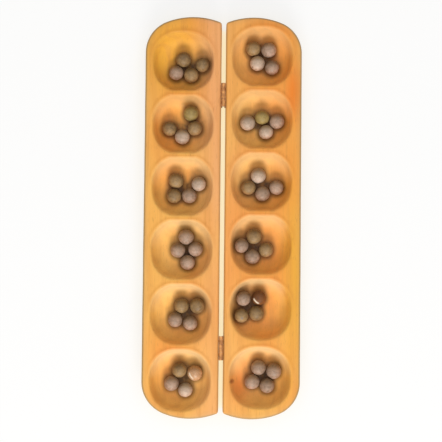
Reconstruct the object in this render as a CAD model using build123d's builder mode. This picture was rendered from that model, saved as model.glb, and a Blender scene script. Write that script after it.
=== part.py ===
from build123d import *

import os
from math import asin, atan2, degrees, isclose, radians, sin, sqrt, tan

# Folding pit-and-seed board: two carved hardwood halves that open flat on two butt hinges,
# six round pits in each half and four seeds in each pit.
# Millimetres. X runs across the open board, Y along it and Z up. The origin lies on the table,
# under the hinge line and midway along it.

# Carved halves
pit_count = 6
pit_radius = 36.0
pit_depth = 24.0
pit_dish = 1.2
pit_blend = 15.0
wall_angle = 74.0
rim_round = 2.2
ridge_width = 4.0
end_wall = 14.0
hinge_wall = 9.7
outer_wall = 9.7
board_thickness = 34.0
edge_round = 3.0
base_round = 1.5
inner_corner_round = 4.0

# Rounded ends of a half: a corner arc on the outer side runs into a flatter crown
end_corner_radius = 40.0
crown_reach = 33.8
crown_drop = 6.8

# Hand setting-out of the two rows: how far each pit lies off an even spacing along Y,
# and how far a row lies off the middle of its half, away from the hinges
left_pit_shifts = (-5.0, -4.0, -2.5, -2.0, -2.5, -4.5)
right_pit_shifts = (2.0, 2.5, 3.5, 5.0, 4.0, -1.0)
left_row_shift = 0.0
right_row_shift = -1.8

# Hinges
pin_radius = 1.25
pin_end_round = 0.4
running_fit = 0.05
leaf_thickness = 1.2
leaf_drop = 15.0
leaf_corner = 2.0
hinge_length = 28.0
hinge_inset = 1.0
hinge_shift = -5.5
knuckle_gap = 0.3
fold_gap = 0.3

# Hinge screws, countersunk
screw_length = 10.0
screw_radius = 1.25
screw_head_radius = 2.4
screw_head_angle = 90.0
screw_tip = 2.5
screw_spacing = 16.0
screw_drop = 8.0
screw_fit = 0.05

# Seeds, slightly flattened rounds; the four in a pit differ a little
seed_diameters = (18.8, 18.0, 18.4, 17.8)
seed_height = 16.4
seed_gap = 0.25

# The heap in each pit: where its middle lies off the middle of the pit,
# then the headings, in degrees from +X, from each seed to the next one, which it touches
left_heaps = (
    ((5.5, -5.0), (-118, -8, 43)),
    ((1.5, -1.5), (-75, -145, 147)),
    ((2.5, -2.5), (-97, 1, 52)),
    ((6.0, 0.0), (-121, -51, 59)),
    ((6.0, 0.0), (180, -114, -12)),
    ((3.0, 0.0), (170, -121, -24)),
)
right_heaps = (
    ((1.0, 2.0), (176, -74, -16)),
    ((2.0, -3.0), (21, -15, -135)),
    ((0.5, -4.0), (-129, -23, 25)),
    ((-8.5, -3.0), (-143, -45, 27)),
    ((-12.0, 3.0), (3, -99, 189)),
    ((4.0, 0.5), (168, -114, -14)),
)

# Sizes that follow
pit_pitch = 2 * pit_radius + ridge_width
board_length = pit_count * pit_pitch - ridge_width + 2 * end_wall
half_width = hinge_wall + 2 * pit_radius + outer_wall
barrel_radius = pin_radius + running_fit + leaf_thickness
leaf_inner_x = barrel_radius - leaf_thickness
knuckle_length = (hinge_length - 2 * knuckle_gap) / 3
knuckle_drop = barrel_radius + knuckle_gap
hinge_height = board_thickness + fold_gap / 2
# Each hinge lies beside the ridge between the last two pits of its end
hinge_spacing = (pit_count - 2) * pit_pitch - 2 * hinge_inset
hinge_places = {
    "upper": hinge_shift + hinge_spacing / 2,
    "lower": hinge_shift - hinge_spacing / 2,
}


# Section of a pit, drawn from its middle to its rim: dished floor, blend, steep wall, eased rim
floor_reach = pit_radius - (pit_depth - pit_dish) / tan(radians(wall_angle))
rim_reach = pit_radius + rim_round * tan(radians(wall_angle / 2))
with BuildSketch(Plane.XZ) as pit_section:
    with BuildLine():
        floor = TangentArc((0, -pit_depth), (floor_reach, pit_dish - pit_depth), tangent=(1, 0))
        rim = JernArc((rim_reach, 0), (-1, 0), rim_round, wall_angle)
        Line(floor @ 1, rim @ 1)
        Polyline(rim @ 0, (rim_reach, rim_round), (0, rim_round), floor @ 0)
    make_face()
    fillet(pit_section.vertices().sort_by_distance(floor @ 1)[0], pit_blend)

with BuildPart() as pit:
    add(pit_section.sketch)
    revolve(axis=Axis.Z)

# Plan of the right half, which the left half mirrors
crown_radius = (crown_reach**2 + crown_drop**2) / (2 * crown_drop)
crown_y = board_length / 2 - crown_radius
corner_x = half_width - end_corner_radius
corner_rise = sqrt((crown_radius - end_corner_radius) ** 2 - (corner_x - crown_reach) ** 2)
corner_turn = degrees(atan2(corner_rise, corner_x - crown_reach))
crown_turn = 90 - corner_turn + degrees(asin(crown_reach / crown_radius))
with BuildSketch(Plane((barrel_radius, 0, 0))) as right_plan:
    with BuildLine():
        side_line = Line((half_width, 0), (half_width, crown_y + corner_rise))
        corner = JernArc(side_line @ 1, (0, 1), end_corner_radius, corner_turn)
        crown = JernArc(corner @ 1, corner % 1, crown_radius, crown_turn)
        Line(crown @ 1, (0, 0))
        mirror(about=Plane.XZ)
    make_face()
    fillet(right_plan.vertices().group_by(Axis.X)[0], inner_corner_round)

with BuildSketch() as left_plan:
    mirror(right_plan.sketch, about=Plane.YZ)


def pit_middles(side, row_shift, pit_shifts):
    """Middles of one row's pits on the top face, from the far end; side is 1 right, -1 left."""
    x = side * (barrel_radius + hinge_wall + pit_radius + row_shift)
    first_y = (pit_count - 1) * pit_pitch / 2
    return [
        Vector(x, first_y - index * pit_pitch + shift, board_thickness)
        for index, shift in enumerate(pit_shifts)
    ]


def screw_heads(side, hinge_y):
    """Planes at a leaf's two screw heads, which face into the gap between the halves."""
    return [
        Plane(
            origin=(side * leaf_inner_x, hinge_y + along, hinge_height - screw_drop),
            x_dir=(0, 1, 0),
            z_dir=(-side, 0, 0),
        )
        for along in (-screw_spacing / 2, screw_spacing / 2)
    ]


def carved_half(plan, side, middles):
    """One half of the board: eased at its edges, carved with its pits and bored for screws."""
    with BuildPart() as half:
        add(plan.sketch)
        extrude(amount=board_thickness)
        fillet(half.faces().sort_by(Axis.Z)[-1].edges(), edge_round)
        fillet(half.faces().sort_by(Axis.Z)[0].edges(), base_round)
        with Locations(*middles):
            add(pit.part, mode=Mode.SUBTRACT)
        for hinge_y in hinge_places.values():
            with Locations(*screw_heads(side, hinge_y)):
                Hole(screw_radius + screw_fit, depth=screw_length + screw_fit)
    return half


def hinge_leaf(side, hinge_y, knuckles):
    """A leaf against the facing edge of one half, curled round the pin at its own knuckles."""
    leaf_face = Plane((side * leaf_inner_x, hinge_y, hinge_height), (0, side, 0), (side, 0, 0))
    with BuildPart() as leaf:
        with BuildSketch(leaf_face) as plate:
            with Locations((0, -knuckle_drop)):
                Rectangle(hinge_length, leaf_drop - knuckle_drop, align=(Align.CENTER, Align.MAX))
            fillet(plate.vertices().group_by(Axis.Y)[0], leaf_corner)
        extrude(amount=leaf_thickness)
        for knuckle in knuckles:
            knuckle_y = hinge_y + knuckle * (knuckle_length + knuckle_gap)
            with BuildSketch(Plane((0, knuckle_y, hinge_height), (side, 0, 0), (0, -side, 0))):
                Circle(barrel_radius)
                with Locations((leaf_inner_x, 0)):
                    Rectangle(leaf_thickness, knuckle_drop, align=(Align.MIN, Align.MAX))
            extrude(amount=knuckle_length / 2, both=True)
        with Locations(Location((0, hinge_y, hinge_height), (90, 0, 0))):
            Cylinder(pin_radius + running_fit, hinge_length, mode=Mode.SUBTRACT)
        with Locations(*screw_heads(side, hinge_y)):
            CounterSinkHole(
                screw_radius + screw_fit,
                screw_head_radius + screw_fit,
                depth=leaf_thickness,
                counter_sink_angle=screw_head_angle,
            )
    return leaf


def hinge_pin(hinge_y):
    """The pin through a hinge's three knuckles, eased at both ends."""
    with BuildPart() as pin:
        with Locations(Location((0, hinge_y, hinge_height), (90, 0, 0))):
            Cylinder(pin_radius, hinge_length)
        fillet(pin.edges().filter_by(GeomType.CIRCLE), pin_end_round)
    return pin


# A hinge screw, its head flush at the origin and its point down
screw_neck = (screw_head_radius - screw_radius) / tan(radians(screw_head_angle / 2))
with BuildPart() as screw:
    with BuildSketch(Plane.XZ):
        with BuildLine():
            Polyline(
                (0, 0),
                (screw_head_radius, 0),
                (screw_radius, -screw_neck),
                (screw_radius, screw_tip - screw_length),
                (0, -screw_length),
                close=True,
            )
        make_face()
    revolve(axis=Axis.Z)


def screw_pair(side, hinge_y):
    """The two screws that hold a leaf to its half."""
    with BuildPart() as pair:
        with Locations(*screw_heads(side, hinge_y)):
            add(screw.part)
    return pair


def seed_shape(diameter):
    """A seed about the origin, a little flatter than it is wide."""
    with BuildPart() as seed:
        Sphere(diameter / 2)
        scale(by=(1, 1, seed_height / diameter))
    return seed


def heap_places(heap_middle, headings):
    """Plan places, from the pit's middle, of a heap's seeds, each touching the one before it."""
    places = [Vector(0, 0)]
    for step, heading in enumerate(headings):
        spacing = (seed_diameters[step] + seed_diameters[step + 1]) / 2 + seed_gap
        places.append(places[-1] + Vector(spacing, 0).rotate(Axis.Z, heading))
    centroid = sum(places, Vector()) / len(places)
    return [place - centroid + Vector(*heap_middle) for place in places]


# The arcs of the pit's section that a seed can rest on: the dished floor, and the blend
dish_radius = floor.radius
blend_centre = next(
    edge.arc_center
    for edge in pit_section.edges().filter_by(GeomType.CIRCLE)
    if isclose(edge.radius, pit_blend)
)
seed_lift = seed_height / 2 + seed_gap
blend_start = blend_centre.X * (dish_radius - seed_lift) / (dish_radius - pit_blend)
wall_reach = blend_centre.X + (pit_blend - seed_lift) * sin(radians(wall_angle))


def resting_plane(pit_middle, place):
    """Plane through a resting seed's middle, square to the floor or blend under it."""
    outward = place.normalized()
    reach = min(place.length, wall_reach)
    if reach < blend_start:
        arc_reach, arc_height, arc_radius = 0, dish_radius - pit_depth, dish_radius
    else:
        arc_reach, arc_height, arc_radius = blend_centre.X, blend_centre.Y, pit_blend
    height = arc_height - sqrt((arc_radius - seed_lift) ** 2 - (reach - arc_reach) ** 2)
    middle = outward * reach + Vector(0, 0, height)
    arc_centre = outward * arc_reach + Vector(0, 0, arc_height)
    return Plane(pit_middle + middle, z_dir=arc_centre - middle)


def write(builder, name):
    """Labels one piece and writes it."""
    builder.part.label = name
    export_step(builder.part, f"parts/{name}.step")


os.makedirs("parts", exist_ok=True)
rows = (
    ("left", -1, left_plan, left_row_shift, left_pit_shifts, left_heaps),
    ("right", 1, right_plan, right_row_shift, right_pit_shifts, right_heaps),
)
seed_shapes = [seed_shape(diameter).part for diameter in seed_diameters]
for row_name, side, plan, row_shift, pit_shifts, heaps in rows:
    middles = pit_middles(side, row_shift, pit_shifts)
    write(carved_half(plan, side, middles), f"{row_name}_board")
    for pit_number, (middle, heap) in enumerate(zip(middles, heaps), 1):
        for seed_number, (place, shape) in enumerate(zip(heap_places(*heap), seed_shapes), 1):
            with BuildPart() as seed:
                with Locations(resting_plane(middle, place)):
                    add(shape)
            write(seed, f"{row_name}_pit_{pit_number}_seed_{seed_number}")

for hinge_name, hinge_y in hinge_places.items():
    write(hinge_leaf(-1, hinge_y, (-1, 1)), f"{hinge_name}_hinge_left_leaf")
    write(hinge_leaf(1, hinge_y, (0,)), f"{hinge_name}_hinge_right_leaf")
    write(hinge_pin(hinge_y), f"{hinge_name}_hinge_pin")
    write(screw_pair(-1, hinge_y), f"{hinge_name}_hinge_left_screws")
    write(screw_pair(1, hinge_y), f"{hinge_name}_hinge_right_screws")
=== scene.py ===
import math
import random

import bmesh
import bpy
import numpy as np
from mathutils import Matrix, Vector, noise
from mathutils.geometry import delaunay_2d_cdt


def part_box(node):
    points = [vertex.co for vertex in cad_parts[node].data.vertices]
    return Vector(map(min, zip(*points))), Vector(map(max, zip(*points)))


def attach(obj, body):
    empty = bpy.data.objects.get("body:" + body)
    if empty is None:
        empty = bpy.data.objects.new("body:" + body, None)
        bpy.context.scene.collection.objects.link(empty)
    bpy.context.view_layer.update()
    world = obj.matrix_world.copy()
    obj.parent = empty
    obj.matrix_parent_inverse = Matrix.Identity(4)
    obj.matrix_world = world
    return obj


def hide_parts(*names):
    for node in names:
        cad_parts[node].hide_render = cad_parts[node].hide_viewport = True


# Folding pit-and-seed board, seen from above: two carved hardwood halves, open on their hinges.
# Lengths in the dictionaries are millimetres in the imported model's frame, but metres in stageLook.

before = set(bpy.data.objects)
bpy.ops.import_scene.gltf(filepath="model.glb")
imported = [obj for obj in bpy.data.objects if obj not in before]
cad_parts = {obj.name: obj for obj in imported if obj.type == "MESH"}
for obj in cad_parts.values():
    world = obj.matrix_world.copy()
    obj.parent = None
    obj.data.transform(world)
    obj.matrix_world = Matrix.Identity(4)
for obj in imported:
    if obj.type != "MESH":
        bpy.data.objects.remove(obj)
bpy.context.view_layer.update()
mm = 0.001
print("frame loaded")


# Node helpers

def makeNode(tree, kind, sockets=None, **settings):
    node = tree.nodes.new("ShaderNode" + kind)
    for name, value in settings.items():
        setattr(node, name, value)
    for key, value in (sockets or {}).items():
        if isinstance(value, bpy.types.NodeSocket):
            tree.links.new(value, node.inputs[key])
        else:
            node.inputs[key].default_value = value
    return node


def colour(rgb):
    return (*rgb, 1)


def mixColours(tree, factor, first, second, blend="MIX"):
    # Mix keeps its colour sockets at 6 and 7, and its colour output at 2
    sockets = {0: factor, 6: first, 7: second}
    return makeNode(tree, "Mix", sockets, data_type="RGBA", blend_type=blend).outputs[2]


def calculate(tree, operation, *values):
    return makeNode(tree, "Math", dict(enumerate(values)), operation=operation).outputs[0]


def remap(tree, value, low, high, newLow=0.0, newHigh=1.0):
    node = makeNode(
        tree,
        "MapRange",
        {"Value": value, "From Min": low, "From Max": high, "To Min": newLow, "To Max": newHigh},
        interpolation_type="SMOOTHSTEP",
    )
    return node.outputs["Result"]


def stretched(tree, place, stretch, shift):
    sockets = {"Vector": place, "Location": (shift,) * 3, "Scale": stretch}
    return makeNode(tree, "Mapping", sockets).outputs[0]


def noiseAt(tree, place, stretch, scale, detail=3.0, roughness=0.55, shift=0.0):
    placed = stretched(tree, place, stretch, shift)
    sockets = {"Vector": placed, "Scale": scale, "Detail": detail, "Roughness": roughness}
    return makeNode(tree, "TexNoise", sockets).outputs["Fac"]


def bumpFrom(tree, height, strength, distance, below=None):
    sockets = {"Height": height, "Strength": strength, "Distance": distance}
    if below:
        sockets["Normal"] = below
    return makeNode(tree, "Bump", sockets).outputs[0]


def newMaterial(name):
    material = bpy.data.materials.new(name)
    material.use_nodes = True
    tree = material.node_tree
    tree.nodes.clear()
    shader = makeNode(tree, "BsdfPrincipled")
    makeNode(tree, "OutputMaterial", {"Surface": shader.outputs[0]})
    place = makeNode(tree, "TexCoord").outputs["Object"]
    return material, tree, shader, place


def attribute(tree, name):
    return makeNode(tree, "Attribute", attribute_name=name).outputs["Fac"]


# Wood

woodLook = {
    "yellow": (0.86, 0.43, 0.09),
    "orange": (0.84, 0.31, 0.05),
    "pink": (0.84, 0.40, 0.16),
    # where the pink begins and is full, by the distance from the middle of the gap
    "pinkReach": (45.0, 4.0),
    "flare": (0.82, 0.21, 0.015),
    "ochre": (0.80, 0.38, 0.035),
    "patchShare": 0.95,
    "grainDark": (0.62, 0.25, 0.05),
    "pore": (0.30, 0.11, 0.03),
    # the colour of the painted shade on the sides and rounded edges
    "edge": (0.36, 0.23, 0.09),
    "marginTint": (0.86, 0.94, 1.3),
    # the colour the pits darken towards, in patches, the deeper they go
    "pitDeepTone": (0.50, 0.20, 0.045),
    # painted light: how much lighter the wood is painted inside the pits, to lift their shade
    "pitLightTint": (1.12, 1.27, 1.55),
    # painted light: the far walls, which face the key light, painted pale below their rims
    "paintedFarLight": (0.93, 0.64, 0.31),
    "paintedFarLightShare": 0.95,
    # the far rims are multiplied by this, a painted shade that dims the key light's bright line on
    # them
    "rimShadeTint": (0.85, 0.77, 0.66),
    # the colour of the painted shade round the seeds, between them and cast towards the far wall
    "paintedSeedShade": (0.055, 0.022, 0.008),
    "knot": (0.30, 0.08, 0.02),
    "roughness": (0.5, 0.7),
    "specular": 0.28,
    "coat": 0.06,
    "coatRoughness": 0.35,
    "grainBump": 0.25,
    "toolBump": 0.35,
}


def woodMaterial(name, shift):
    material, tree, shader, place = newMaterial(name)
    look = woodLook
    patches = noiseAt(tree, place, (1, 0.45, 1), 11, 2, 0.5, shift)
    orangeShare = remap(tree, patches, 0.36, 0.64)
    body = mixColours(tree, orangeShare, colour(look["yellow"]), colour(look["orange"]))
    for patch in patchLook:
        amount = calculate(tree, "MULTIPLY", attribute(tree, patch), look["patchShare"])
        body = mixColours(tree, amount, body, colour(look[patch]))
    # a pinker tint beside the hinges
    axes = makeNode(tree, "SeparateXYZ", {0: place})
    begin, full = (distance * mm for distance in look["pinkReach"])
    fromHinge = remap(tree, calculate(tree, "ABSOLUTE", axes.outputs["X"]), begin, full)
    tint = noiseAt(tree, place, (1, 0.3, 1), 9, 2, 0.5, shift + 3)
    pinkness = calculate(tree, "MULTIPLY", fromHinge, remap(tree, tint, 0.35, 0.6, 0.2, 0.9))
    body = mixColours(tree, pinkness, body, colour(look["pink"]))
    # growth rings run along the board and show as ovals where a pit cuts them
    grainPlace = stretched(tree, place, (1, 0.05, 0.8), shift)
    rings = makeNode(
        tree,
        "TexWave",
        {"Vector": grainPlace, "Scale": 34, "Distortion": 5.5, "Detail": 3, "Detail Scale": 1.2},
        wave_type="BANDS",
        bands_direction="DIAGONAL",
    ).outputs["Fac"]
    body = mixColours(tree, remap(tree, rings, 0.55, 1, 0, 0.22), body, colour(look["grainDark"]))
    streaks = noiseAt(tree, place, (1, 0.035, 1), 420, 4, 0.6, shift)
    streakShare = remap(tree, streaks, 0.5, 0.75, 0, 0.34)
    body = mixColours(tree, streakShare, body, colour(look["grainDark"]))
    pores = noiseAt(tree, place, (1, 0.06, 1), 1500, 2, 0.5, shift + 7)
    body = mixColours(tree, remap(tree, pores, 0.63, 0.72, 0, 0.35), body, colour(look["pore"]))
    # darker in patches the deeper into the pits, which are painted lighter than the top face
    stain = noiseAt(tree, place, (1, 1, 1), 60, 3, 0.6, shift)
    deepShare = remap(tree, stain, 0.35, 0.75, 0.0, 0.25)
    deepening = calculate(tree, "MULTIPLY", attribute(tree, "depth"), deepShare)
    body = mixColours(tree, deepening, body, colour(look["pitDeepTone"]))
    # painted light: the pits lighter than the top face, to lift their shade
    inside = mixColours(tree, 1.0, body, colour(look["pitLightTint"]), "MULTIPLY")
    body = mixColours(tree, attribute(tree, "carved"), body, inside)
    # painted light on the far walls, less where the wood is ochre, and painted shade on their rims
    unlikeOchre = remap(tree, attribute(tree, "ochre"), 0, 0.7, look["paintedFarLightShare"], 0.1)
    paintedFarLight = calculate(tree, "MULTIPLY", attribute(tree, "paintedFarLight"), unlikeOchre)
    body = mixColours(tree, paintedFarLight, body, colour(look["paintedFarLight"]))
    rim = mixColours(tree, 1.0, body, colour(look["rimShadeTint"]), "MULTIPLY")
    body = mixColours(tree, attribute(tree, "rim"), body, rim)
    # painted shade round and between the seeds, faded margins, painted shade on the rounded edges,
    # and the knot
    seedShadeShare = remap(tree, stain, 0.3, 0.7, 0.88, 1)
    paintedSeedShade = calculate(tree, "MULTIPLY", attribute(tree, "paintedSeedShade"), seedShadeShare)
    body = mixColours(tree, paintedSeedShade, body, colour(look["paintedSeedShade"]))
    faded = mixColours(tree, 1.0, body, colour(look["marginTint"]), "MULTIPLY")
    body = mixColours(tree, attribute(tree, "margin"), body, faded)
    # painted shade on the sides and rounded edges
    body = mixColours(tree, attribute(tree, "edgeDull"), body, colour(look["edge"]))
    body = mixColours(tree, attribute(tree, "knot"), body, colour(look["knot"]))
    tree.links.new(body, shader.inputs["Base Color"])
    shine = remap(tree, streaks, 0.3, 0.7, *look["roughness"])
    tree.links.new(shine, shader.inputs["Roughness"])
    shader.inputs["Specular IOR Level"].default_value = look["specular"]
    shader.inputs["Coat Weight"].default_value = look["coat"]
    shader.inputs["Coat Roughness"].default_value = look["coatRoughness"]
    # gouge marks inside the pits, then grain everywhere
    sockets = {"Vector": place, "Scale": 95, "Smoothness": 0.5}
    gouges = makeNode(tree, "TexVoronoi", sockets, feature="SMOOTH_F1").outputs["Distance"]
    marks = calculate(tree, "MULTIPLY", gouges, attribute(tree, "carved"))
    bump = bumpFrom(tree, marks, look["toolBump"], 0.0012)
    bump = bumpFrom(tree, streaks, look["grainBump"], 0.0003, bump)
    bump = bumpFrom(tree, pores, 0.15, 0.0002, bump)
    tree.links.new(bump, shader.inputs["Normal"])
    return material


# Carved halves

halfShape = {
    "innerX": 2.5,
    "width": 91.4,
    "length": 480.0,
    "thickness": 34.0,
    "cornerRadius": 40.0,
    # the end's shallow arc: how far its highest point lies from the gap, and its fall towards it
    "crownReach": 33.8,
    "crownDrop": 6.8,
    "innerCorner": 4.0,
    "topRound": 3.0,
    "baseRound": 1.5,
    "outlineStep": 1.5,
    "baseRows": 4,
    "sideRows": 9,
    "topRows": 7,
    "capSpacing": 3.2,
    "baseSpacing": 9.6,
    # how close the rows of inner points lie, and how far each point is moved, in spacings
    "capRow": 0.87,
    "capJitter": 0.18,
    "waver": 0.35,
    # how deep the slow waver and the tool facets sink the top, at half their range
    "sag": 0.12,
    "facets": 0.10,
    # how much painted shade the wood takes on the sides, at most on the rounded edges, and its share
    # at the gap
    "sideShade": 0.2,
    "edgeDull": 0.85,
    "gapDull": 0.4,
    "margin": 8.0,
}
pitShape = {
    "radius": 36.0,
    "depth": 24.0,
    "dish": 1.2,
    "blend": 15.0,
    "wallAngle": 74.0,
    "rimRound": 3.6,
    "segments": 144,
    "rimRings": 6,
    "wallRings": 9,
    "blendRings": 15,
    "floorRings": 14,
    "stretchX": 1.015,
    # 2 leaves the rim a circle, and more makes it squarer
    "squareness": 2.32,
    "waver": 0.5,
    # half the least width of the top face between two pits
    "crestHalf": 0.4,
}
# painted light on the pits' far walls, by shares of the depth: full from "start" down, fading over
# the last "end", with painted shade on the rim above "rim"; "least" is the painted light of the
# farthest pit, and a larger "narrowness" keeps the painted light nearer the far side's middle
farLightLook = {
    "least": 0.45,
    "narrowness": 0.8,
    "start": 0.08,
    "end": 0.4,
    "rim": 0.12,
}
# painted shade on the wood round each seed, a painted cast shadow beyond it towards the far wall,
# and most in the pockets between three seeds: full to the first distance from a seed's middle,
# and gone at the second
seedShadeLook = {
    "around": (8.0, 15.0),
    "aroundShare": 0.75,
    "drift": 8.0,
    "driftShare": 0.3,
    "pocket": (13.0, 18.0),
}
# soft patches of other wood colour on the open board, each by its middle and its spread
patchLook = {
    "flare": [((84, 150), (12, 42)), ((22, -200), (12, 20))],
    "ochre": [((-66, 200), (40, 48)), ((86, -70), (12, 110))],
}
# the pits' middles on the top face, from the far end
pitRows = {
    "left": [(-48.2, y) for y in (185, 110, 35.5, -40, -116.5, -194.5)],
    "right": [(46.4, y) for y in (192, 116.5, 41.5, -33, -110, -191)],
}
seedsPerPit = 4
knotLook = {"side": "right", "place": (13.2, -196.0, 24.0), "reach": (4.6, 3.0, 12.0)}


def seedNames(sideName):
    # each seed's name, with the numbers of its pit and of itself
    for pitNumber in range(1, len(pitRows[sideName]) + 1):
        for seedNumber in range(1, seedsPerPit + 1):
            yield f"{sideName}_pit_{pitNumber}_seed_{seedNumber}", pitNumber, seedNumber


def arcRun(centre, radius, start, end, step):
    # points on an arc with their outward directions, the last one left to the next run
    count = max(3, math.ceil(abs(math.radians(end - start)) * radius / step))
    for index in range(count):
        angle = math.radians(start + (end - start) * index / count)
        direction = (math.cos(angle), math.sin(angle))
        yield (centre[0] + radius * direction[0], centre[1] + radius * direction[1], *direction)


def lineRun(start, end, step):
    run = Vector(end) - Vector(start)
    count = math.ceil(run.length / step)
    for index in range(count):
        point = Vector(start) + run * index / count
        yield (point.x, point.y, run.y / run.length, -run.x / run.length)


def halfOutline():
    # the right half's plan, anticlockwise, with x from its hinge edge
    s = halfShape
    step = s["outlineStep"]
    reach, drop, corner = s["crownReach"], s["crownDrop"], s["cornerRadius"]
    crown = (reach**2 + drop**2) / (2 * drop)
    crownY = s["length"] / 2 - crown
    cornerX = s["width"] - corner
    rise = math.sqrt((crown - corner) ** 2 - (cornerX - reach) ** 2)
    cornerTurn = math.degrees(math.atan2(rise, cornerX - reach))
    small = s["innerCorner"]
    smallY = crownY + math.sqrt((crown - small) ** 2 - (reach - small) ** 2)
    crownEnd = math.degrees(math.atan2(smallY - crownY, small - reach))
    cornerY = crownY + rise
    points = []
    points += lineRun((s["width"], -cornerY), (s["width"], cornerY), step)
    points += arcRun((cornerX, cornerY), corner, 0, cornerTurn, step)
    points += arcRun((reach, crownY), crown, cornerTurn, crownEnd, step)
    points += arcRun((small, smallY), small, crownEnd, 180, step)
    points += lineRun((0, smallY), (0, -smallY), step)
    points += arcRun((small, -smallY), small, 180, 360 - crownEnd, step)
    points += arcRun((reach, -crownY), crown, 360 - crownEnd, 360 - cornerTurn, step)
    points += arcRun((cornerX, -cornerY), corner, 360 - cornerTurn, 360, step)
    return np.array(points)


def pitSection():
    # (reach, height) pairs from the rim in to the middle
    p = pitShape
    slope = math.radians(p["wallAngle"])
    rimReach = p["radius"] + p["rimRound"] * math.tan(slope / 2)
    floorReach = p["radius"] - (p["depth"] - p["dish"]) / math.tan(slope)
    dish = (floorReach**2 + p["dish"] ** 2) / (2 * p["dish"])
    along = Vector((math.cos(slope), math.sin(slope)))
    inward = Vector((-math.sin(slope), math.cos(slope)))
    start = Vector((p["radius"], 0)) + inward * p["blend"]
    offset = start - Vector((0, dish - p["depth"]))
    half = offset.dot(along)
    blendCentre = start + along * (
        -half - math.sqrt(half**2 - offset.length_squared + (dish - p["blend"]) ** 2)
    )
    points = []
    for index in range(p["rimRings"]):
        angle = slope * index / (p["rimRings"] - 1)
        inset = p["rimRound"] * math.sin(angle)
        points.append((rimReach - inset, p["rimRound"] * (math.cos(angle) - 1)))
    wallTop = Vector(points[-1])
    wallEnd = blendCentre - inward * p["blend"]
    for index in range(1, p["wallRings"]):
        points.append(tuple(wallTop.lerp(wallEnd, index / p["wallRings"])))
    floorTurn = math.asin(blendCentre.x / (dish - p["blend"]))
    for index in range(p["blendRings"]):
        turn = slope + (floorTurn - slope) * index / (p["blendRings"] - 1)
        reach = blendCentre.x + p["blend"] * math.sin(turn)
        points.append((reach, blendCentre.y - p["blend"] * math.cos(turn)))
    edge = dish * math.sin(floorTurn)
    for index in range(1, p["floorRings"]):
        reach = edge * (1 - index / p["floorRings"])
        points.append((reach, dish - p["depth"] - math.sqrt(dish**2 - reach**2)))
    return points


def rimScale(angle, centre, rimReach, neighbours):
    # how far a hand-cut rim stands off the true circle, short of the next pit's rim
    p = pitShape
    power = p["squareness"]
    c, s = math.cos(angle), math.sin(angle)
    square = (abs(c) ** power + abs(s) ** power) ** (-1 / power)
    place = Vector((c * 1.3, s * 1.3, centre[1] * 0.37 + centre[0]))
    scale = square * (1 + p["waver"] / p["radius"] * (0.5 + 0.5 * noise.noise(place)))
    for neighbour in neighbours:
        halfway = (neighbour - centre[1]) / 2
        if halfway * s > 0:
            scale = min(scale, (abs(halfway) - p["crestHalf"]) / abs(s) / rimReach)
    return scale


def inConvex(points, outline, inset):
    # which points lie inside a convex outline by at least inset
    offsets = points[:, None, :] - outline[None, :, :2]
    return ((offsets * outline[None, :, 2:]).sum(axis=2) < -inset).all(axis=1)


def fillCap(skin, loops, inner, z):
    # triangles at one height between loops of the skin's vertices, with inner points added
    known = [index for loop in loops for index in loop]
    edges = []
    start = 0
    for loop in loops:
        count = len(loop)
        edges += [(start + index, start + (index + 1) % count) for index in range(count)]
        start += count
    points = [Vector(skin.points[index][:2]) for index in known]
    points += [Vector(point) for point in inner]
    placed, _, faces, origins, _, _ = delaunay_2d_cdt(points, edges, [], 1, 1e-5)
    corners = []
    for point, origin in zip(placed, origins):
        if origin and origin[0] < len(known):
            corners.append(known[origin[0]])
        else:
            corners.append(skin.add((point.x, point.y, z)))
    return [tuple(corners[index] for index in face) for face in faces]


class Skin:
    # vertices, faces and point values of one mesh as it grows

    def __init__(self):
        self.points = []
        self.faces = []
        self.values = {"carved": [], "depth": [], "edgeDull": [], "paintedFarLight": [], "rim": []}

    def add(self, point, **values):
        self.points.append(point)
        for name, kept in self.values.items():
            kept.append(values.get(name, 0.0))
        return len(self.points) - 1

    def ring(self, points, **values):
        return [self.add(point, **values) for point in points]

    def bridge(self, first, second):
        count = len(first)
        for index in range(count):
            after = (index + 1) % count
            self.faces.append((first[index], first[after], second[after], second[index]))


def capPoints(outline, inset, holes, spacing, rng):
    # rows of points inside an outline and clear of the holes, every other row half a step aside
    s = halfShape
    xs = np.arange(0, s["width"], spacing)
    ys = np.arange(-s["length"] / 2, s["length"] / 2, spacing * s["capRow"])
    jitter = spacing * s["capJitter"]
    points = []
    for row, y in enumerate(ys):
        for x in xs:
            moveX, moveY = (rng.uniform(-jitter, jitter) for _ in range(2))
            points.append((x + (row % 2) * spacing / 2 + moveX, y + moveY))
    points = np.array(points)
    keep = inConvex(points, outline, inset + spacing * 0.5)
    for (x, y), reach in holes:
        keep &= np.hypot(points[:, 0] - x, points[:, 1] - y) > reach + spacing * 0.45
    return points[keep]


def addLevel(skin, outline, side, inset, z, **values):
    # the half's outline at one height, with a slow waver
    s = halfShape
    points = []
    for x, y, outX, outY in outline:
        place = Vector((x * 0.03, y * 0.03, z * 0.04 + side * 9))
        inward = inset + s["waver"] * (0.5 + 0.5 * noise.noise(place))
        points.append((x - outX * inward, y - outY * inward, z))
    ring = skin.ring(points, **values)
    # the painted shade on the edges is lighter at the gap
    for index in ring:
        if skin.points[index][0] < s["topRound"]:
            skin.values["edgeDull"][index] *= s["gapDull"]
    return ring


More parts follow.
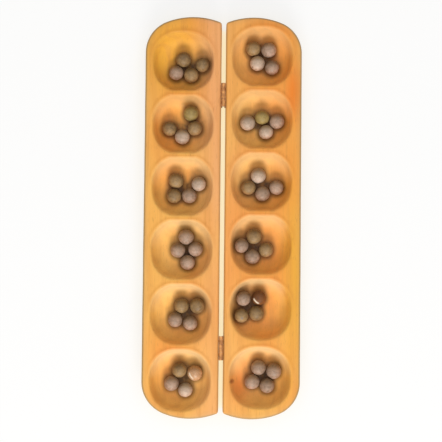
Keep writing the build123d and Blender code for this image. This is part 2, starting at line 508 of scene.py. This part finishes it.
def addSides(skin, outline, side):
    # eased lower edge, side and rounded top edge; gives back the lowest and the highest outline
    s = halfShape
    rings = [addLevel(skin, outline, side, s["baseRound"], 0)]
    for index in range(1, s["baseRows"] + 1):
        turn = math.pi / 2 * index / s["baseRows"]
        inset = s["baseRound"] * (1 - math.sin(turn))
        z = s["baseRound"] * (1 - math.cos(turn))
        rings.append(addLevel(skin, outline, side, inset, z, edgeDull=s["sideShade"]))
    sideTop = s["thickness"] - s["topRound"]
    for index in range(1, s["sideRows"] + 1):
        z = s["baseRound"] + (sideTop - s["baseRound"]) * index / s["sideRows"]
        rings.append(addLevel(skin, outline, side, 0, z, edgeDull=s["sideShade"]))
    for index in range(1, s["topRows"] + 1):
        turn = math.pi / 2 * index / s["topRows"]
        inset = s["topRound"] * (1 - math.cos(turn))
        z = sideTop + s["topRound"] * math.sin(turn)
        # the painted shade is darkest half way round the edge, and none where it meets the top
        swell = math.sin(2 * turn)
        if turn < math.pi / 4:
            dull = s["sideShade"] + (s["edgeDull"] - s["sideShade"]) * swell
        else:
            dull = s["edgeDull"] * swell**2
        rings.append(addLevel(skin, outline, side, inset, z, edgeDull=dull))
    for first, second in zip(rings, rings[1:]):
        skin.bridge(first, second)
    return rings[0], rings[-1]


def addPit(skin, section, middle, angles, scales, farLight):
    # the pit's section swept round its middle, from the rim in; gives back the rim
    p = pitShape
    rings = []
    for number, (reach, height) in enumerate(section):
        # the rim's own shape fades out towards the floor
        fade = min(1.0, reach / p["radius"])
        stretch = 1 + (p["stretchX"] - 1) * fade
        points = []
        for angle, scale in zip(angles, scales):
            grown = reach * (1 + (scale - 1) * fade)
            x = middle[0] + grown * stretch * math.cos(angle)
            y = middle[1] + grown * math.sin(angle)
            points.append((x, y, halfShape["thickness"] + height))
        carved = min(1.0, number / p["rimRings"])
        depth = min(1.0, -height / p["depth"])
        ring = skin.ring(points, carved=carved, depth=depth)
        # painted light on the far side, from just under the rim down, and painted shade on the far
        # rim
        fall = min(depth / farLightLook["start"], 1, (1 - depth) / farLightLook["end"])
        for angle, index in zip(angles, ring):
            facing = max(0.0, math.sin(angle)) ** farLightLook["narrowness"]
            skin.values["paintedFarLight"][index] = farLight * facing * fall
            skin.values["rim"][index] = facing * max(0.0, 1 - depth / farLightLook["rim"])
        if rings:
            skin.bridge(rings[-1], ring)
        rings.append(ring)
    floor = skin.add((*middle, halfShape["thickness"] - p["depth"]), carved=1.0, depth=1.0)
    last = rings[-1]
    for index, first in enumerate(last):
        skin.faces.append((first, last[(index + 1) % len(last)], floor))
    return rings[0]


def addTop(skin, outline, topRing, rims, holes, rng):
    # the top face between the outline and the rims
    s = halfShape
    inner = capPoints(outline, s["topRound"], holes, s["capSpacing"], rng)
    rimOf = {index: number for number, rim in enumerate(rims) for index in rim}
    for face in fillCap(skin, [topRing, *rims], inner, s["thickness"]):
        touched = {rimOf.get(index) for index in face}
        # a triangle with every corner on one rim lies over that pit
        if len(touched) > 1 or None in touched:
            skin.faces.append(face)


def addUnderside(skin, outline, base, rng):
    s = halfShape
    inner = capPoints(outline, s["baseRound"], [], s["baseSpacing"], rng)
    for face in fillCap(skin, [base], inner, 0):
        skin.faces.append(tuple(reversed(face)))


def buildHalf(sideName, side, rng):
    p = pitShape
    outline = halfOutline()
    section = pitSection()
    skin = Skin()
    base, topRing = addSides(skin, outline, side)
    rims = []
    holes = []
    angles = [2 * math.pi * index / p["segments"] for index in range(p["segments"])]
    rimReach = section[0][0]
    lastRow = len(pitRows[sideName]) - 1
    for row, (centreX, centreY) in enumerate(pitRows[sideName]):
        # the painted light on the far walls is palest in the near pits
        farLight = farLightLook["least"] + (1 - farLightLook["least"]) * row / lastRow
        middle = (side * centreX - halfShape["innerX"], centreY)
        neighbours = [y for _, y in pitRows[sideName] if y != centreY]
        scales = [rimScale(angle, (centreX, centreY), rimReach, neighbours) for angle in angles]
        rims.append(addPit(skin, section, middle, angles, scales, farLight))
        holes.append((middle, rimReach * (max(scales) + p["stretchX"] - 1)))
    addTop(skin, outline, topRing, rims, holes, rng)
    addUnderside(skin, outline, base, rng)
    return skin


def carveByHand(point, carved, side):
    # slow waver of the worked surface, always into the wood
    x, y, z = point
    place = Vector((x * 0.02, y * 0.02, z * 0.05 + side * 5))
    level = halfShape["sag"] * (1 + noise.noise(place))
    facets = halfShape["facets"] * (1 + noise.noise(Vector((x, y, z)) * 0.11)) * carved
    high = min(1.0, z / halfShape["thickness"])
    return (x, y, z - (level + facets) * high)


def knotAmount(point):
    # how far a point lies within the knot, which the pit's steep wall cuts into a tall oval
    offsets = zip(point, knotLook["place"], knotLook["reach"])
    distance = math.hypot(*((value - middle) / reach for value, middle, reach in offsets))
    return max(0.0, 1 - distance) ** 0.5


def closeness(points, spots, full, reach):
    # for every point and spot, 1 within full of the spot and 0 beyond reach
    offsets = np.array(points)[:, None, :2] - np.array(spots)[None, :, :]
    distances = np.hypot(offsets[..., 0], offsets[..., 1])
    amounts = np.clip((reach - distances) / (reach - full), 0, 1)
    return amounts**2 * (3 - 2 * amounts)


def seedShadeAmounts(sideName, points, carved):
    # how much painted shade each point of the pits takes from the seeds of its half
    look = seedShadeLook
    spots = []
    for name, _, _ in seedNames(sideName):
        low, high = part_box(name)
        spots.append(((low[0] + high[0]) / 2 / mm, (low[1] + high[1]) / 2 / mm))
    # the painted cast shadows lie drift further towards the far wall
    castSpots = [(x, y + look["drift"]) for x, y in spots]
    unshaded = (1 - look["aroundShare"] * closeness(points, spots, *look["around"])).prod(axis=1)
    unshaded *= (1 - look["driftShare"] * closeness(points, castSpots, *look["around"])).prod(axis=1)
    # a pocket's painted shade is as deep as its third nearest seed is close
    unshaded *= 1 - np.sort(closeness(points, spots, *look["pocket"]), axis=1)[:, -3]
    return (1 - unshaded) * np.array(carved)


def patchAmounts(patches, points):
    # how far each point lies within any of the patches
    places = np.array(points)[:, :2]
    amounts = [
        np.exp(-(((places - np.array(middle)) / np.array(spread)) ** 2).sum(axis=1))
        for middle, spread in patches
    ]
    return np.max(amounts, axis=0)


def marginAmounts(points):
    # how near each point of a half's own plan lies to its outer edge, and none by the gap
    margin = halfShape["margin"]
    points = np.array(points)
    # every eighth point of the outline is enough to measure from
    outline = halfOutline()[::8]
    offsets = points[:, None, :2] - outline[None, :, :2]
    inside = -(offsets * outline[None, :, 2:]).sum(axis=2).max(axis=1)
    return np.clip(1 - inside / margin, 0, 1) * np.clip(points[:, 0] / margin - 0.5, 0, 1)


def keepValues(mesh, name, values):
    # one value for each point of the mesh, which a material reads by the name
    mesh.attributes.new(name, "FLOAT", "POINT").data.foreach_set("value", values)


def makeBoard(sideName, side, rng):
    skin = buildHalf(sideName, side, rng)
    points = []
    for point, carved in zip(skin.points, skin.values["carved"]):
        x, y, z = carveByHand(point, carved, side)
        points.append((side * (x + halfShape["innerX"]), y, z))
    faces = skin.faces if side > 0 else [tuple(reversed(face)) for face in skin.faces]
    mesh = bpy.data.meshes.new(f"{sideName}BoardMesh")
    mesh.from_pydata([tuple(c * mm for c in point) for point in points], [], faces)
    for name, values in skin.values.items():
        keepValues(mesh, name, values)
    knotted = sideName == knotLook["side"]
    keepValues(mesh, "knot", [knotAmount(point) if knotted else 0.0 for point in points])
    keepValues(mesh, "paintedSeedShade", seedShadeAmounts(sideName, points, skin.values["carved"]))
    for name, patches in patchLook.items():
        keepValues(mesh, name, patchAmounts(patches, points))
    keepValues(mesh, "margin", marginAmounts(skin.points))
    mesh.shade_smooth()
    mesh.validate()
    board = bpy.data.objects.new(f"{sideName}Board", mesh)
    bpy.context.collection.objects.link(board)
    # the right half shows another stretch of grain
    shift = 1.7 if side > 0 else 0.0
    mesh.materials.append(woodMaterial(f"{sideName}Wood", shift))
    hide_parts(f"{sideName}_board")
    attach(board, f"{sideName}_half")


for sideName, side in (("left", -1), ("right", 1)):
    makeBoard(sideName, side, random.Random(11 + side))
print("boards made")


# Seeds

seedLook = {
    "grey": {"light": (0.47, 0.31, 0.22), "dark": (0.20, 0.128, 0.080), "roughness": 0.4},
    "light": {"light": (0.58, 0.43, 0.32), "dark": (0.31, 0.22, 0.155), "roughness": 0.36},
    "khaki": {"light": (0.355, 0.22, 0.095), "dark": (0.150, 0.088, 0.034), "roughness": 0.43},
    "olive": {"light": (0.37, 0.26, 0.085), "dark": (0.18, 0.125, 0.040), "roughness": 0.45},
    "brown": {"light": (0.22, 0.080, 0.018), "dark": (0.090, 0.028, 0.006), "roughness": 0.55},
    "pale": {"light": (0.57, 0.33, 0.175), "dark": (0.32, 0.165, 0.075), "roughness": 0.2},
    "eye": (0.22, 0.16, 0.12),
    # the colour of the painted highlight streak on the lit side
    "paintedHighlight": (0.80, 0.66, 0.50),
    "specular": 0.36,
    # how fast the fine rings follow each other, how much the mottling bends them, how dark they are
    "ringPace": 42.0,
    "ringBend": 6.0,
    "ringShare": 0.28,
    # painted shade and reflection on the side towards the far wall, painted light on the near side
    "paintedFarShade": (0.68, 0.63, 0.48),
    "paintedNearLight": (1.22, 1.24, 1.3),
}
# seeds of other kinds than grey, by pit and number
oddSeeds = {
    "light": {"left": [(2, 3), (3, 4), (6, 4)], "right": [(1, 3), (2, 1), (2, 4), (3, 1)]},
    "khaki": {
        "left": [(1, 1), (1, 3), (1, 4), (2, 2), (2, 4), (3, 1), (3, 2), (5, 1), (5, 2), (6, 2)],
        "right": [(1, 2), (3, 2), (4, 1), (4, 4), (5, 3), (5, 4)],
    },
    "olive": {"left": [(2, 1)], "right": [(2, 2)]},
    "brown": {"left": [], "right": [(5, 2)]},
    "pale": {"left": [(6, 1)], "right": []},
}
# a painted highlight, a pale streak on the lit side, by its middle and run in directions from the
# seed's middle
highlightStreaks = {
    "right_pit_5_seed_2": {"middle": (-0.41, -0.57, 0.71), "along": (0.71, -0.70, 0.0)},
    "left_pit_6_seed_1": {"middle": (-0.50, -0.50, 0.70), "along": (0.55, -0.83, 0.0)},
}
seedShape = {
    "subdivisions": 5,
    "halfHeight": 8.2,
    # from here on shares of a seed's radius
    "oval": 0.04,
    "waver": 0.035,
    "fineWaver": 0.004,
    "eyeDepth": 0.03,
    "eyeSize": 0.2,
    "highlightWidth": 0.17,
    "highlightLength": 0.6,
}


def seedMaterial(kind):
    look = seedLook[kind]
    material, tree, shader, place = newMaterial(f"{kind}Seed")
    # the slow noise gives each seed its own tone, the quick one mottles it
    slow = noiseAt(tree, place, (1, 1, 1), 45, 1, 0.5, 2.0)
    quick = noiseAt(tree, place, (1, 1, 1), 320, 4, 0.6)
    mottle = remap(tree, quick, 0.34, 0.66, -0.05, 0.5)
    ownTone = remap(tree, slow, 0.35, 0.65, 0.1, 0.5)
    tone = calculate(tree, "ADD", ownTone, mottle)
    body = mixColours(tree, tone, colour(look["dark"]), colour(look["light"]))
    # fine rings round the eye, bent a little by the mottling
    spread = calculate(tree, "MULTIPLY", attribute(tree, "eyeReach"), seedLook["ringPace"])
    bend = calculate(tree, "MULTIPLY", quick, seedLook["ringBend"])
    waves = calculate(tree, "SINE", calculate(tree, "ADD", spread, bend))
    ringShare = remap(tree, waves, 0.4, 1, 0, seedLook["ringShare"])
    body = mixColours(tree, ringShare, body, colour(look["dark"]))
    # painted shade on each seed's far side and painted light on its near side, with a ragged border
    unevenness = remap(tree, quick, 0.3, 0.7, -0.15, 0.15)
    lightSide = calculate(tree, "ADD", attribute(tree, "lightSide"), unevenness)
    for name, start, end in (("paintedFarShade", 0.05, 0.75), ("paintedNearLight", -0.05, -0.75)):
        tinted = mixColours(tree, 1.0, body, colour(seedLook[name]), "MULTIPLY")
        body = mixColours(tree, remap(tree, lightSide, start, end), body, tinted)
    body = mixColours(tree, attribute(tree, "eye"), body, colour(seedLook["eye"]))
    # a painted highlight streak
    body = mixColours(tree, attribute(tree, "paintedHighlight"), body, colour(seedLook["paintedHighlight"]))
    tree.links.new(body, shader.inputs["Base Color"])
    shine = remap(tree, quick, 0.3, 0.7, look["roughness"] - 0.06, look["roughness"] + 0.14)
    tree.links.new(shine, shader.inputs["Roughness"])
    shader.inputs["Specular IOR Level"].default_value = seedLook["specular"]
    sockets = {"Vector": place, "Scale": 700}
    cracks = makeNode(tree, "TexVoronoi", sockets, feature="DISTANCE_TO_EDGE").outputs["Distance"]
    hair = remap(tree, cracks, 0.0, 0.08)
    bump = bumpFrom(tree, quick, 0.2, 0.0003)
    bump = bumpFrom(tree, hair, 0.12, 0.0001, bump)
    tree.links.new(bump, shader.inputs["Normal"])
    return material


seedMaterials = {kind: seedMaterial(kind) for kind in ("grey", *oddSeeds)}


def seedAxis(node):
    # a seed's flat axis: its points spread evenly across the other two
    points = np.array([vertex.co[:] for vertex in node.data.vertices])
    spreads, directions = np.linalg.eigh(np.cov((points - points.mean(axis=0)).T))
    alone = 0 if spreads[1] - spreads[0] > spreads[2] - spreads[1] else 2
    axis = Vector(directions[:, alone])
    return axis if axis.z > 0 else -axis


def highlightAmount(name, direction):
    # how far a point of a seed lies within its painted highlight streak
    if name not in highlightStreaks:
        return 0.0
    middle, along = (Vector(highlightStreaks[name][key]).normalized() for key in ("middle", "along"))
    aside = abs(direction.dot(middle.cross(along))) / seedShape["highlightWidth"]
    beyond = abs(direction.dot(along)) / seedShape["highlightLength"]
    if direction.dot(middle) < 0 or aside > 1 or beyond > 1:
        return 0.0
    return min(1.0, 2 - 2 * aside) * min(1.0, 3 - 3 * beyond)


def seedKind(sideName, pitNumber, seedNumber):
    for kind, places in oddSeeds.items():
        if (pitNumber, seedNumber) in places[sideName]:
            return kind
    return "grey"


def makeSeed(name, kind, node, body, rng):
    low, high = (Vector(corner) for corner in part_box(name))
    middle = (low + high) / 2
    halfWidth = max(high.x - low.x, high.y - low.y) / 2
    halfHeight = seedShape["halfHeight"] * mm
    bm = bmesh.new()
    bmesh.ops.create_icosphere(bm, subdivisions=seedShape["subdivisions"], radius=1)
    drift = Vector([rng.uniform(-50, 50) for _ in range(3)])
    eye = Vector((1, 0, rng.uniform(-0.5, 0.5))).normalized()
    turn = Vector((0, 0, 1)).rotation_difference(seedAxis(node)).to_matrix()
    turn = turn @ Matrix.Rotation(rng.uniform(0, 2 * math.pi), 3, "Z")
    narrow = halfWidth * (1 - rng.uniform(0, seedShape["oval"]))
    values = {"eye": [], "eyeReach": [], "paintedHighlight": [], "lightSide": []}
    for vertex in bm.verts:
        direction = vertex.co.normalized()
        across = direction.x**2 / halfWidth**2 + direction.y**2 / narrow**2
        reach = 1 / math.sqrt(across + direction.z**2 / halfHeight**2)
        reach *= 1 - seedShape["waver"] * (0.5 + 0.5 * noise.noise(direction * 1.5 + drift))
        reach *= 1 - seedShape["fineWaver"] * (1 + noise.noise(direction * 7 + drift))
        eyeReach = (direction - eye).length
        inEye = max(0.0, 1 - eyeReach / seedShape["eyeSize"])
        reach *= 1 - seedShape["eyeDepth"] * inEye**0.7
        turned = turn @ direction
        values["eye"].append(min(1.0, inEye * 1.6))
        values["eyeReach"].append(eyeReach)
        values["paintedHighlight"].append(highlightAmount(name, turned))
        values["lightSide"].append(turned.y)
        vertex.co = middle + turned * reach
    mesh = bpy.data.meshes.new(f"{name}_mesh")
    bm.to_mesh(mesh)
    bm.free()
    for key, amounts in values.items():
        keepValues(mesh, key, amounts)
    mesh.shade_smooth()
    seed = bpy.data.objects.new(f"{name}_look", mesh)
    bpy.context.collection.objects.link(seed)
    mesh.materials.append(seedMaterials[kind])
    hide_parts(name)
    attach(seed, body)


seedRng = random.Random(48)
for sideName in pitRows:
    for name, pitNumber, seedNumber in seedNames(sideName):
        kind = seedKind(sideName, pitNumber, seedNumber)
        makeSeed(name, kind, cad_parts[name], f"{sideName}_half", seedRng)
print("seeds made")


# Hinges

metalLook = {
    "hinge": {
        "bright": (0.62, 0.30, 0.105),
        "dull": (0.34, 0.14, 0.05),
        "metallic": 0.7,
        "roughness": 0.42,
    },
    "screw": {
        "bright": (0.56, 0.35, 0.15),
        "dull": (0.30, 0.16, 0.07),
        "metallic": 0.8,
        "roughness": 0.34,
    },
    "pin": {
        "bright": (0.34, 0.30, 0.27),
        "dull": (0.16, 0.12, 0.10),
        "metallic": 0.85,
        "roughness": 0.4,
    },
}
# neck is the height of the countersunk cone, rim the flat edge round the head
screwLook = {
    "headRadius": 2.4,
    "rim": 0.15,
    "neck": 1.15,
    "shankRadius": 1.25,
    "length": 10.0,
    "tip": 2.5,
    "tipRadius": 0.2,
    "slotDepth": 0.55,
    # the length of the slot's floor as a share of its length at the top
    "slotFloor": 0.8,
    "segments": 48,
}


def metalMaterial(kind):
    look = metalLook[kind]
    material, tree, shader, place = newMaterial(f"{kind}Metal")
    tarnish = noiseAt(tree, place, (1, 1, 1), 170, 4, 0.55)
    dullShare = remap(tree, tarnish, 0.35, 0.68)
    body = mixColours(tree, dullShare, colour(look["bright"]), colour(look["dull"]))
    tree.links.new(body, shader.inputs["Base Color"])
    shader.inputs["Metallic"].default_value = look["metallic"]
    shine = remap(tree, tarnish, 0.3, 0.7, look["roughness"] - 0.08, look["roughness"] + 0.22)
    tree.links.new(shine, shader.inputs["Roughness"])
    scratches = noiseAt(tree, place, (1, 0.06, 1), 2600, 3, 0.6)
    bump = bumpFrom(tree, tarnish, 0.2, 0.0002)
    bump = bumpFrom(tree, scratches, 0.15, 0.0001, bump)
    tree.links.new(bump, shader.inputs["Normal"])
    return material


def screwMesh():
    # slotted countersunk head facing up at the origin, over its shank
    look = screwLook
    faceRadius = look["headRadius"] - look["rim"]
    count = look["segments"]
    profile = (
        (faceRadius, 0),
        (look["headRadius"], -look["rim"]),
        (look["shankRadius"], -look["neck"]),
        (look["shankRadius"], look["tip"] - look["length"]),
        (look["tipRadius"], -look["length"]),
    )
    turns = [2 * math.pi * index / count for index in range(count)]
    bm = bmesh.new()
    rings = [
        [bm.verts.new((reach * math.cos(turn), reach * math.sin(turn), height)) for turn in turns]
        for reach, height in profile
    ]
    for first, second in zip(rings, rings[1:]):
        for index in range(count):
            bm.faces.new((first[index - 1], first[index], second[index], second[index - 1]))
    bm.faces.new(rings[-1])
    # two half faces, with the slot sunk between the corners beside the ring's first and middle ones
    top = rings[0]
    half = count // 2
    bm.faces.new(top[1:half])
    bm.faces.new(top[half + 1 :])
    slot = [top[-1], top[0], top[1], top[half - 1], top[half], top[half + 1]]
    floor = []
    for corner in slot:
        x = corner.co.x * look["slotFloor"]
        floor.append(bm.verts.new((x, corner.co.y, -look["slotDepth"])))
    for index in range(len(slot)):
        bm.faces.new((slot[index - 1], slot[index], floor[index], floor[index - 1]))
    bm.faces.new(floor)
    bmesh.ops.recalc_face_normals(bm, faces=bm.faces)
    mesh = bpy.data.meshes.new("screwMesh")
    bm.to_mesh(mesh)
    bm.free()
    return mesh


def makeScrews(name, body, metal, rng):
    # one object holds a leaf's two screws, with their heads to the gap
    low, high = (Vector(corner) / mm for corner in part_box(name))
    side = 1 if low.x > 0 else -1
    headX = low.x if side > 0 else high.x
    single = screwMesh()
    bm = bmesh.new()
    for headY in (low.y + screwLook["headRadius"], high.y - screwLook["headRadius"]):
        before = len(bm.verts)
        bm.from_mesh(single)
        bm.verts.ensure_lookup_table()
        facing = Vector((-side, 0, 0)).to_track_quat("Z", "Y").to_matrix().to_4x4()
        slotTurn = Matrix.Rotation(rng.uniform(0, math.pi), 4, "Z")
        place = Matrix.Translation((headX, headY, (low.z + high.z) / 2))
        bmesh.ops.transform(
            bm, matrix=Matrix.Scale(mm, 4) @ place @ facing @ slotTurn, verts=bm.verts[before:]
        )
    mesh = bpy.data.meshes.new(f"{name}_mesh")
    bm.to_mesh(mesh)
    bm.free()
    bpy.data.meshes.remove(single)
    mesh.shade_smooth()
    mesh.set_sharp_from_angle(angle=math.radians(30))
    screws = bpy.data.objects.new(f"{name}_look", mesh)
    bpy.context.collection.objects.link(screws)
    mesh.materials.append(metal)
    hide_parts(name)
    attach(screws, body)


metals = {kind: metalMaterial(kind) for kind in metalLook}
screwRng = random.Random(7)
for name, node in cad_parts.items():
    if name.endswith("screws"):
        makeScrews(name, "left_half" if "left" in name else "right_half", metals["screw"], screwRng)
    elif "hinge" in name:
        node.data.materials.clear()
        node.data.materials.append(metals["pin" if name.endswith("pin") else "hinge"])
print("hinges finished")


# Stage, light and camera

stageLook = {
    "floorReach": 6.0,
    "floor": (0.92, 0.92, 0.91),
    # the paper's glow to the camera: white in the open, and a painted warm bounce light beside the
    # wood and in the gap
    "glow": (1.0, 1.0, 1.0),
    "paintedHaloBounce": (1.0, 0.985, 0.93),
    "gap": (1.2, 0.98, 0.56),
    "glowShare": 0.78,
    # how near the wood must stand for the paper to take the painted warm bounce light
    "bounceReach": 0.03,
    "sky": 0.5,
    "softColour": (1, 0.99, 0.97),
    "keyColour": (1, 0.98, 0.94),
    "keyPower": 42.0,
    "keySize": 1.2,
    "keyElevation": 38.0,
    "keyAside": 0.05,
    "keyDistance": 2.6,
    "topPower": 9.0,
    "topSize": 1.6,
    "topHeight": 2.0,
}


def seenOrMirrored(tree):
    # 1 for what the camera sees directly or in a reflection
    path = makeNode(tree, "LightPath").outputs
    return calculate(tree, "MAXIMUM", path["Is Camera Ray"], path["Is Glossy Ray"])


def makeFloor():
    mesh = bpy.data.meshes.new("floorMesh")
    reach = stageLook["floorReach"]
    corners = [(-reach, -reach, 0), (reach, -reach, 0), (reach, reach, 0), (-reach, reach, 0)]
    mesh.from_pydata(corners, [], [(0, 1, 2, 3)])
    floor = bpy.data.objects.new("floor", mesh)
    bpy.context.collection.objects.link(floor)
    material = bpy.data.materials.new("floorPaper")
    material.use_nodes = True
    tree = material.node_tree
    tree.nodes.clear()
    place = makeNode(tree, "TexCoord").outputs["Object"]
    paper = noiseAt(tree, place, (1, 1, 1), 40, 4, 0.6)
    low = tuple(c * 0.985 for c in stageLook["floor"])
    body = mixColours(tree, paper, colour(low), colour(stageLook["floor"]))
    diffuse = makeNode(tree, "BsdfDiffuse", {"Color": body})
    # painted warm bounce light: the paper glows cream where wood stands close, most of all in the
    # gap
    sockets = {"Distance": stageLook["bounceReach"]}
    openness = makeNode(tree, "AmbientOcclusion", sockets, samples=8).outputs["AO"]
    nearShare = remap(tree, openness, 1, 0.5)
    glow = mixColours(tree, nearShare, colour(stageLook["glow"]), colour(stageLook["paintedHaloBounce"]))
    glow = mixColours(tree, remap(tree, openness, 0.4, 0.15), glow, colour(stageLook["gap"]))
    emission = makeNode(tree, "Emission", {"Color": glow, "Strength": 1.0})
    share = calculate(tree, "MULTIPLY", seenOrMirrored(tree), stageLook["glowShare"])
    mix = makeNode(tree, "MixShader", {0: share, 1: diffuse.outputs[0], 2: emission.outputs[0]})
    makeNode(tree, "OutputMaterial", {"Surface": mix.outputs[0]})
    mesh.materials.append(material)


def makeSky():
    world = bpy.data.worlds.new("studio")
    bpy.context.scene.world = world
    world.use_nodes = True
    tree = world.node_tree
    tree.nodes.clear()
    sockets = {"Color": colour(stageLook["softColour"]), "Strength": stageLook["sky"]}
    lighting = makeNode(tree, "Background", sockets).outputs[0]
    shown = makeNode(tree, "Background", {"Color": colour((1, 1, 1)), "Strength": 1.0}).outputs[0]
    mix = makeNode(tree, "MixShader", {0: seenOrMirrored(tree), 1: lighting, 2: shown})
    makeNode(tree, "OutputWorld", {"Surface": mix.outputs[0]})


def makeKey():
    data = bpy.data.lights.new("key", "AREA")
    data.energy = stageLook["keyPower"]
    data.size = stageLook["keySize"]
    data.color = stageLook["keyColour"]
    key = bpy.data.objects.new("key", data)
    bpy.context.collection.objects.link(key)
    turn = math.radians(stageLook["keyElevation"])
    direction = Vector((stageLook["keyAside"], -math.cos(turn), math.sin(turn))).normalized()
    key.location = direction * stageLook["keyDistance"]
    key.rotation_euler = direction.to_track_quat("Z", "Y").to_euler()


def makeTopLight():
    # an area light faces down when it isn't turned
    data = bpy.data.lights.new("topLight", "AREA")
    data.energy = stageLook["topPower"]
    data.size = stageLook["topSize"]
    data.color = stageLook["softColour"]
    topLight = bpy.data.objects.new("topLight", data)
    bpy.context.collection.objects.link(topLight)
    topLight.location = (0, 0, stageLook["topHeight"])


cameraLook = {
    "lens": 89.03,
    "sensorWidth": 36.0,
    "distance": 1300.0,
    "tilt": 3.0,
    "roll": 0.573,
    "aim": (-1.4, -5.8, 34.0),
}


def makeCamera():
    look = cameraLook
    tilt, roll = math.radians(look["tilt"]), math.radians(look["roll"])
    back = Vector((0, -math.sin(tilt), math.cos(tilt)))
    right = Vector((math.cos(roll), math.sin(roll), 0))
    right = (right - back * right.dot(back)).normalized()
    up = back.cross(right)
    data = bpy.data.cameras.new("camera")
    data.lens = look["lens"]
    data.sensor_width = look["sensorWidth"]
    data.clip_start = 0.05
    data.clip_end = 50
    camera = bpy.data.objects.new("camera", data)
    bpy.context.collection.objects.link(camera)
    camera.rotation_mode = "QUATERNION"
    camera.rotation_quaternion = Matrix((right, up, back)).transposed().to_quaternion()
    camera.location = (Vector(look["aim"]) + back * look["distance"]) * mm
    bpy.context.scene.camera = camera


makeFloor()
makeSky()
makeKey()
makeTopLight()
makeCamera()
bpy.context.scene.view_settings.view_transform = "Standard"
print("stage, light and camera made")
